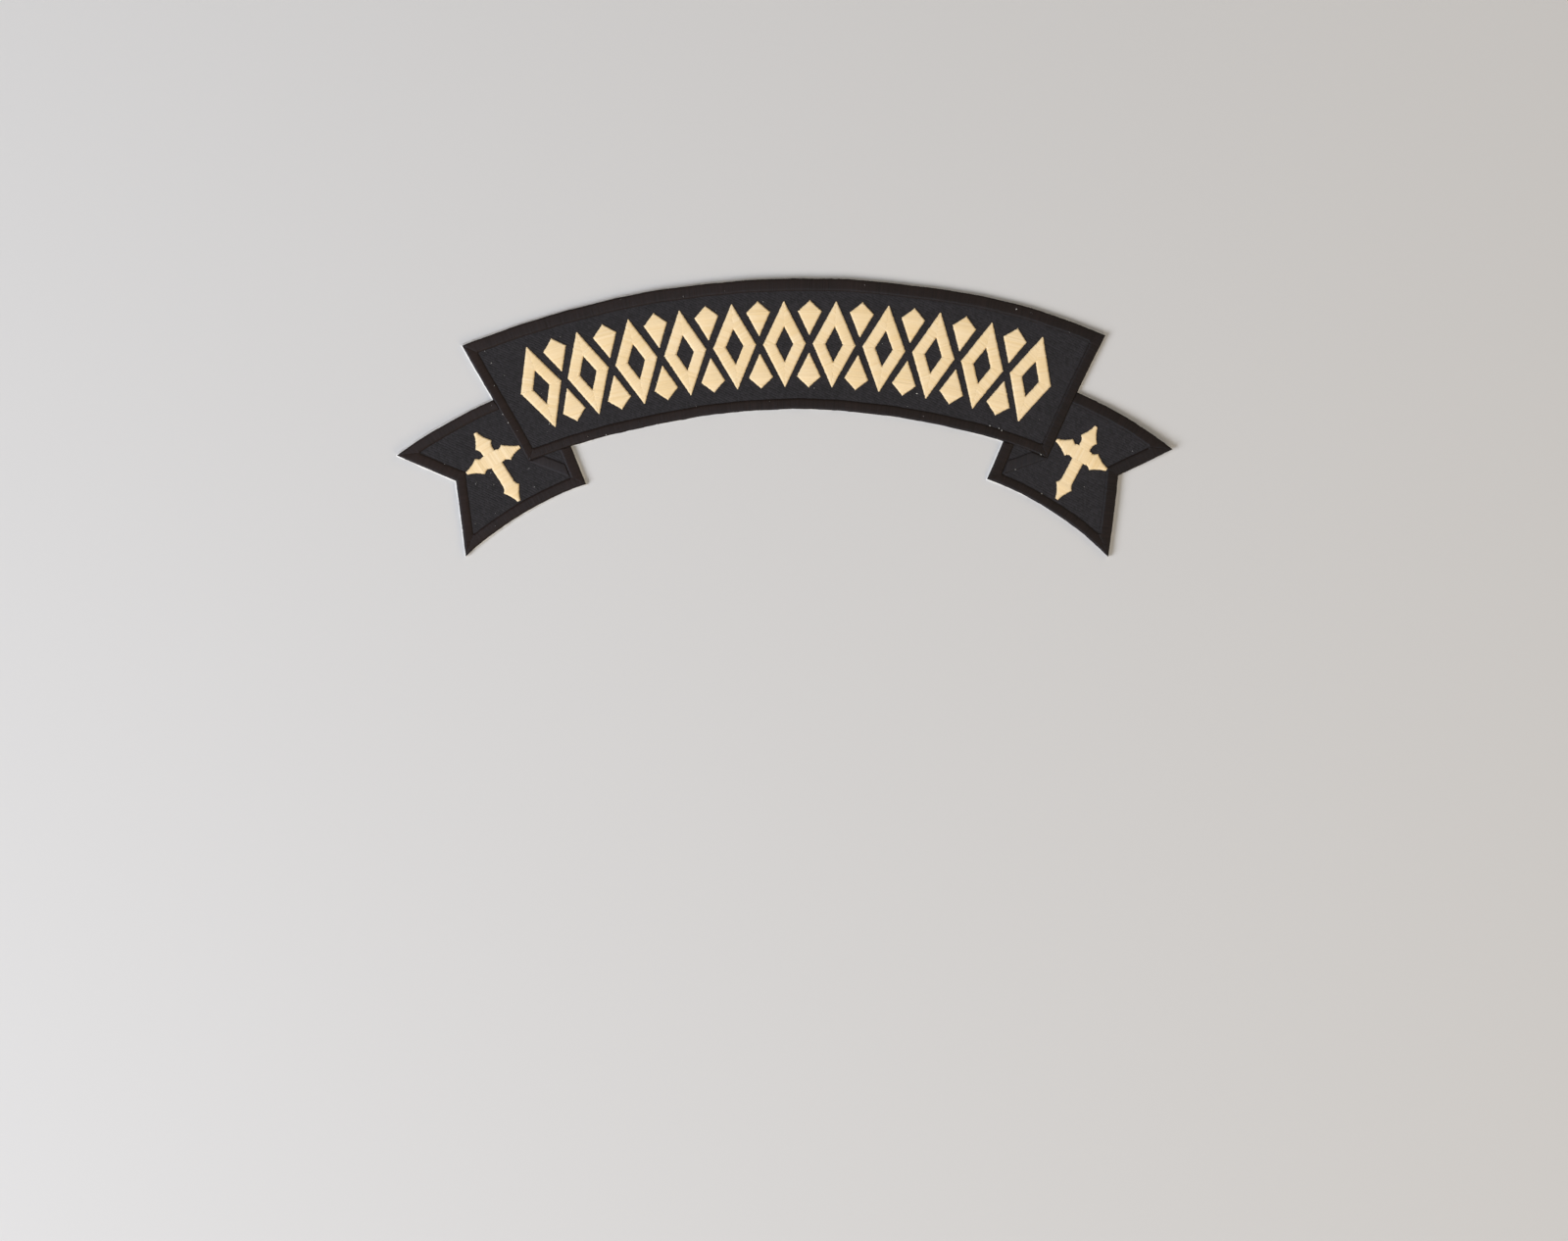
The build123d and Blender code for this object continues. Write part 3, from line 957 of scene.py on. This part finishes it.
def weave(build, field, cuts, seams):
    """The twill's wales over a field, less the cuts, pressed down beside the seams. A wale is cut
    upright, so its floats stand like the warp, and floats of all wales stand in line."""
    v_all = field @ wale_across
    for row in range(math.ceil(v_all.min() / WALE_PITCH), math.floor(v_all.max() / WALE_PITCH) + 1):
        v = (row + 0.5) * WALE_PITCH
        stretches = row_spans([field], v)
        for cut in cuts:
            stretches = without(stretches, row_spans(cut, v))
        shift = v * math.tan(WALE_LEAN)
        for a, b in stretches:
            first, last = math.floor((a - shift) / FLOAT_PITCH), math.ceil((b - shift) / FLOAT_PITCH)
            floats = np.arange(first, last + 1)
            count = len(floats)
            tone = rng.normal(0, 1, count)
            level = 1 + rng.normal(0, FLOAT_STRAY, count).clip(LEAST_STRAY, MOST_STRAY)
            stray = rng.normal(0, SIDE_STRAY, count)
            u = ((floats[:, None] + (0, 0.5)) * FLOAT_PITCH + shift).ravel()
            inner = np.flatnonzero((u > a + END_CLEAR) & (u < b - END_CLEAR))
            ends = np.searchsorted(u, (a, b)).clip(0, len(u) - 1)
            pick = np.concatenate([ends[:1], inner, ends[1:]])
            at_float, on_top = pick // 2, pick % 2
            at_u = u[pick]
            at_u[0], at_u[-1] = a, b
            middle = at_u[:, None] * wale_along + v * wale_across
            sink = 1 - WEAVE_SINK * np.exp(-((gap_to(middle, seams) / SINK_REACH) ** 2))
            rise = level[at_float] * np.take(FLOAT_RISES, on_top) * sink
            half = np.stack([np.full(len(pick), 0.5), np.take(FLOAT_SIDES, on_top)], 1)
            across = np.concatenate([-half, half[:, ::-1]], 1) * WALE_PITCH + stray[at_float, None]
            z = WEAVE_FLOOR + WEAVE_RISE * rise[:, None] * SECTION
            spot = np.repeat(middle[:, None], 4, 1)
            spot[..., 1] += across / math.cos(WALE_LEAN)
            grid = np.concatenate([spot, z[..., None]], 2)
            ways = np.stack(np.broadcast_arrays(at_u[:, None], across), 2)
            build.strip(grid, tone[at_float], ways)


build = Builder()
weave(build, outline(banner_edges, np.array(BANNER_WIDTHS) - WEAVE_TUCK), row_cuts, row_seams)
weaves = [build.make("twill_weave_banner", twill)]
for side, flip in (("left", (-1, 1)), ("right", (1, 1))):
    widths = TAIL_WIDTHS[side]
    hem = placed(fold_line.at, fold_polygon(widths))
    cuts = [outline(banner_edges, WEAVE_TUCK), inset(hem, WEAVE_TUCK), *cross_outlines(side, WEAVE_TUCK)]
    seams = [outline(tail_edges, widths), banner_cover, hem, *cross_outlines(side)]
    field = outline(tail_edges, np.array(widths) - WEAVE_TUCK)
    build = Builder()
    weave(build, field * flip, [[cut * flip] for cut in cuts], [seam * flip for seam in seams])
    weaves.append(build.make(f"twill_weave_{side}_tail", twill))

# The two sheets of cloth, from the outlines of the part's own solids
LEVEL_SLACK = 0.01  # points this close to a solid's top are on it
SHEET_GRID = 4.0
GRID_CLEAR = 0.4  # share of the grid that its points keep from the rim
FILL_INSIDE, SAME_PLACE = 1, 1e-6  # of the triangulation: fill the loop, merge points this close


def rim_edges(faces):
    """Edges that only one of the faces has, each in its face's direction."""
    edges = dict.fromkeys((a, b) for face in faces for a, b in zip(face, face[1:] + face[:1]))
    return [(a, b) for a, b in edges if (b, a) not in edges]


def rim_loop(name, step):
    """Points round the top of a node, counter-clockwise and no further apart than a step."""
    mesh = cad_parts[name].data
    points = np.array([v.co for v in mesh.vertices]) / MM
    on_top = points[:, 2] > points[:, 2].max() - LEVEL_SLACK
    keys = [tuple(p) for p in np.round(points[:, :2], 3)]
    upper = [p.vertices for p in mesh.polygons if all(on_top[i] for i in p.vertices)]
    following = dict(rim_edges([tuple(keys[i] for i in f) for f in upper]))
    loop = [next(iter(following))]
    while following[loop[-1]] != loop[0]:
        loop.append(following[loop[-1]])
    loop = np.array(loop)
    points = []
    for a, b in zip(loop, np.roll(loop, -1, 0)):
        count = max(1, math.ceil(np.hypot(*(b - a)) / step))
        points.append(a + (b - a) * np.linspace(0, 1, count, endpoint=False)[:, None])
    return np.concatenate(points)


def outward(loop):
    """Unit vectors out of a counter-clockwise loop at each of its points."""
    ahead = np.roll(loop, -1, 0) - np.roll(loop, 1, 0)
    return np.stack([ahead[:, 1], -ahead[:, 0]], 1) / np.hypot(*ahead.T)[:, None]


def cloth_sheet(build, top_loop, foot_loop, floor, top):
    """A closed sheet between two heights, its rim running from one loop to the other."""
    low, high = top_loop.min(0), top_loop.max(0)
    xs, ys = np.arange(low[0], high[0], SHEET_GRID), np.arange(low[1], high[1], SHEET_GRID)
    spots = np.array([(x, y) for x in xs for y in ys])
    spots = spots[inside(spots, top_loop)]
    gap = np.array([np.hypot(*(top_loop - p).T).min() for p in spots])
    spots = spots[gap > GRID_CLEAR * SHEET_GRID]
    count = len(top_loop)
    points, _, faces, *_ = delaunay_2d_cdt(
        [Vector(p) for p in np.concatenate([top_loop, spots])],
        [(i, (i + 1) % count) for i in range(count)],
        [tuple(range(count))],
        FILL_INSIDE,
        SAME_PLACE,
    )
    points = np.array(points)
    foot = points.copy()
    foot[:count] = foot_loop
    total = len(points)
    both = np.column_stack([np.concatenate([points, foot]), np.repeat([top, floor], total)])
    sides = [(b, a, a + total, b + total) for a, b in rim_edges(faces)]
    under = [tuple(i + total for i in face[::-1]) for face in faces]
    flat = [False] * len(faces) + [True] * len(sides) + [False] * len(under)
    build.add(both, faces + sides + under, 0.0, (0.0, 0.0), flat)


def along_loop(loop, length):
    """Smooth noise round a loop, its swings about a length apart."""
    way = np.concatenate([[0], np.cumsum(np.hypot(*np.diff(loop, axis=0).T))])
    total = way[-1] + np.hypot(*(loop[0] - loop[-1]))
    count = max(4, round(total / length))
    knots = rng.normal(0, 1, count)
    spot = way / total * count
    left = np.floor(spot).astype(int) % count
    t = spot - np.floor(spot)
    t = t * t * (3 - 2 * t)
    return knots[left] * (1 - t) + knots[(left + 1) % count] * t


TWILL_STEP, BACKING_STEP = 1.2, 0.7  # between the points of each rim
FRAY, FRAY_LENGTH = 0.05, 1.5
build = Builder()
cut = rim_loop("twill_ground", TWILL_STEP)
out = outward(cut)
frayed = cut + out * (FRAY * along_loop(cut, FRAY_LENGTH))[:, None]
cloth_sheet(build, frayed, frayed, BACKING_THICK, TWILL_TOP)
twill_sheet = build.make("twill_sheet", twill)
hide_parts("twill_ground")

# Where the backing's pale cut edge shows past the twill: place and reach along the rim
PALE_STRETCHES = (
    # x, y, reach, and how much further the backing comes out
    (-137.0, 1.0, 22.0, 0.55),
    (-82.0, -18.0, 11.0, 0.45),
    (82.0, -18.0, 11.0, 0.50),
    (-118.0, 35.0, 22.0, 0.42),
    (-50.0, 51.0, 34.0, 0.20),
    (20.0, 54.5, 40.0, 0.12),
    (-129.0, -38.0, 18.0, 0.42),
    (-101.0, -41.0, 10.0, 0.22),
    (128.0, 4.0, 16.0, 0.24),
    (108.0, 38.0, 12.0, 0.16),
)
RIM_HIDDEN = -0.28  # where it ends elsewhere, past its solid's rim
STRETCH_END = 1.6  # a stretch fades out at this many times its reach
RIM_WANDERS = ((0.1, 5.0), (0.06, 1.4))  # size and length
RIM_LIMITS = (-0.4, 0.36)
CUT_LEAN, CUT_WANDER, CUT_WANDER_LENGTH = 0.08, 0.05, 1.2  # of the cut edge, inwards and downwards
SHEETS_APART = 0.02
build = Builder()
cut = rim_loop("backing", BACKING_STEP)
out = outward(cut)
shows = np.full(len(cut), RIM_HIDDEN)
for x, y, reach, extra in PALE_STRETCHES:
    away = np.hypot(cut[:, 0] - x, cut[:, 1] - y) / reach
    shows += extra * np.clip(STRETCH_END - away, 0, 1)
for size, length in RIM_WANDERS:
    shows += size * along_loop(cut, length)
shows = np.clip(shows, *RIM_LIMITS)
top_rim = cut + out * shows[:, None]
foot_shows = shows - CUT_LEAN + CUT_WANDER * along_loop(cut, CUT_WANDER_LENGTH)
foot_rim = cut + out * foot_shows[:, None]
cloth_sheet(build, top_rim, foot_rim, 0.0, BACKING_THICK - SHEETS_APART)

FIBRE_POINTS = 6
FIBRE_SIDES = (0.5, 2.6, 4.7)  # the directions of its three corners
FIBRE_TAPER = 0.6  # share of its radius that it has lost at its end
# Shares of its length: its bend, how much of that goes up, and a wave with its turns
FIBRE_BEND, FIBRE_LIFT, FIBRE_WAVE, WAVE_TURNS = 0.35, 0.3, 0.06, 5
UPRIGHT = np.array([0, 0, 1.0])


def fibre(build, start, direction, length, radius):
    """A stray fibre, as a thin tube that curls a little."""
    steps = np.linspace(0, 1, FIBRE_POINTS)
    bend = rng.normal(0, FIBRE_BEND, 3)
    side = np.cross(direction, UPRIGHT)
    side = side / max(np.linalg.norm(side), TINY)
    sag = bend[0] * side + abs(bend[1]) * FIBRE_LIFT * UPRIGHT
    wave = np.sin(steps * WAVE_TURNS) * FIBRE_WAVE * bend[2]
    path = start + length * (
        steps[:, None] * direction + (steps**2)[:, None] * sag + wave[:, None] * side
    )
    path[:, 2] = np.maximum(path[:, 2], radius)
    ring = np.array([math.cos(a) * side + math.sin(a) * UPRIGHT for a in FIBRE_SIDES])
    width = radius * (1 - FIBRE_TAPER * steps)
    grid = path[:, None] + width[:, None, None] * ring
    ways = np.zeros((len(steps), 3, 2))
    build.strip(grid, np.full(len(steps), rng.normal(0, 1)), ways)


RIM_FIBRES = 170
FIBRE_CHANCE = 0.45  # raises every place's chance of a fibre, which is best where the rim shows
SPREAD = 0.7  # of the fibres' directions
SLOPE, SLOPE_SPREAD = 0.1, 0.25
ROOT_DEPTH, LOWEST_ROOT, BELOW_TOP = 0.1, 0.15, 0.1
FIBRE_LENGTHS, FIBRE_RADII = (0.3, 1.1), (0.02, 0.035)
chances = (shows + FIBRE_CHANCE) ** 2
for i in rng.choice(len(cut), RIM_FIBRES, p=chances / chances.sum()):
    lean = out[i] + rng.normal(0, SPREAD, 2)
    direction = np.append(lean / np.hypot(*lean), rng.normal(SLOPE, SLOPE_SPREAD))
    root_height = rng.uniform(LOWEST_ROOT, BACKING_THICK - BELOW_TOP)
    start = np.append(top_rim[i] - out[i] * ROOT_DEPTH, root_height)
    fibre(build, start, direction, rng.uniform(*FIBRE_LENGTHS), rng.uniform(*FIBRE_RADII))
backing_sheet = build.make("backing_sheet", backing_felt)
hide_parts("backing")

# Lint on the face: the specks that the photograph shows, then finer ones and short fibres
LINT_PLACES = (
    (-114.5, 14.5), (-111.5, 2.5), (-109.5, -1.0), (-115.5, 23.5), (-70.5, -6.0),
    (-93.5, -1.5), (80.0, -4.5), (83.5, -5.5), (84.5, -6.0), (91.5, 40.5),
    (116.0, 36.0), (52.0, 8.5), (99.5, -15.5), (89.5, -21.5), (99.5, -30.5),
)
LINT_SPECKS = 60
LINT_FIBRES = 8
LINT_AREA = ((-150, -52), (150, 54))
LINT_HEIGHT = STITCH_BASE + 0.5
PHOTO_SPECKS, FINE_SPECKS = (0.14, 0.24), (0.05, 0.12)  # radii
SPECK_SHAPE = 2.2  # a speck's length by its radius
LINT_LENGTHS, LINT_RADII = (0.6, 1.4), (0.02, 0.03)
INSET = 1.0
build = Builder()
face_area, tail_area = outline(banner_edges, INSET), outline(tail_edges, INSET)
spots = list(LINT_PLACES)
while len(spots) < len(LINT_PLACES) + LINT_SPECKS + LINT_FIBRES:
    spot = rng.uniform(*LINT_AREA)
    if inside(spot, face_area) or inside(spot * (np.sign(spot[0]), 1), tail_area):
        spots.append(spot)
for index, spot in enumerate(spots):
    start = np.append(spot, LINT_HEIGHT)
    angle = rng.uniform(0, 2 * math.pi)
    direction = np.array([math.cos(angle), math.sin(angle), 0.0])
    if index >= len(LINT_PLACES) + LINT_SPECKS:
        fibre(build, start, direction, rng.uniform(*LINT_LENGTHS), rng.uniform(*LINT_RADII))
    else:
        size = rng.uniform(*(PHOTO_SPECKS if index < len(LINT_PLACES) else FINE_SPECKS))
        fibre(build, start, direction, size * SPECK_SHAPE, size)
build.make("lint", lint_white)

# Floor, light and camera, in metres
floor_mesh = bpy.data.meshes.new("floor")
FLOOR_HALF, FLOOR_BELOW = 3.0, 0.0001
FLOOR_GREY = (0.605, 0.605, 0.615, 1)
SKY, SKY_STRENGTH = (0.95, 0.97, 1, 1), 0.2
corners = ((-1, -1), (1, -1), (1, 1), (-1, 1))
floor_corners = [(x * FLOOR_HALF, y * FLOOR_HALF, -FLOOR_BELOW) for x, y in corners]
floor_mesh.from_pydata(floor_corners, [], [(0, 1, 2, 3)])
floor = new_object("floor", floor_mesh)
floor_material, tree, shader = material("floor")
feed(tree, shader, {"Base Color": FLOOR_GREY, "Roughness": 0.9})
floor_mesh.materials.append(floor_material)

COOL, WARM = (0.93, 0.955, 1.0), (1.0, 0.83, 0.58)
LIGHTS = (
    # name, place, size, power, colour
    ("key", (-1.56, -0.82, 1.38), 1.4, 54, COOL),
    ("fill", (1.5, 0.85, 1.55), 1.8, 12, WARM),
    ("low_fill", (0.9, -1.5, 1.4), 1.2, 12, WARM),
)
for name, place, size, power, colour in LIGHTS:
    light = bpy.data.lights.new(name, "AREA")
    light.shape = "DISK"
    light.size = size
    light.energy = power
    light.color = colour
    lamp = new_object(name, light)
    lamp.location = place
    lamp.rotation_mode = "QUATERNION"
    lamp.rotation_quaternion = (-Vector(place)).to_track_quat("-Z", "Y")

world = bpy.data.worlds.new("world")
world.use_nodes = True
background = world.node_tree.nodes["Background"]
feed(world.node_tree, background, {"Color": SKY, "Strength": SKY_STRENGTH})
bpy.context.scene.world = world
bpy.context.scene.view_settings.view_transform = "Standard"

PHOTO_WIDTH, MM_PER_PIXEL = 1600, 0.3857  # in pixels, and their size on the patch
VIEW_WIDTH = PHOTO_WIDTH * MM_PER_PIXEL * MM
CAMERA_HEIGHT = 2.2
CAMERA_PLACE = (-0.0010, -0.0798)  # from the patch's middle, as the photograph frames it
ROLL = math.radians(0.5)
SENSOR = 36
camera_data = bpy.data.cameras.new("camera")
camera_data.sensor_width = SENSOR
camera_data.lens = SENSOR * CAMERA_HEIGHT / VIEW_WIDTH
camera = new_object("camera", camera_data)
camera.location = (*CAMERA_PLACE, CAMERA_HEIGHT)
camera.rotation_euler = (0, 0, -ROLL)
bpy.context.scene.camera = camera
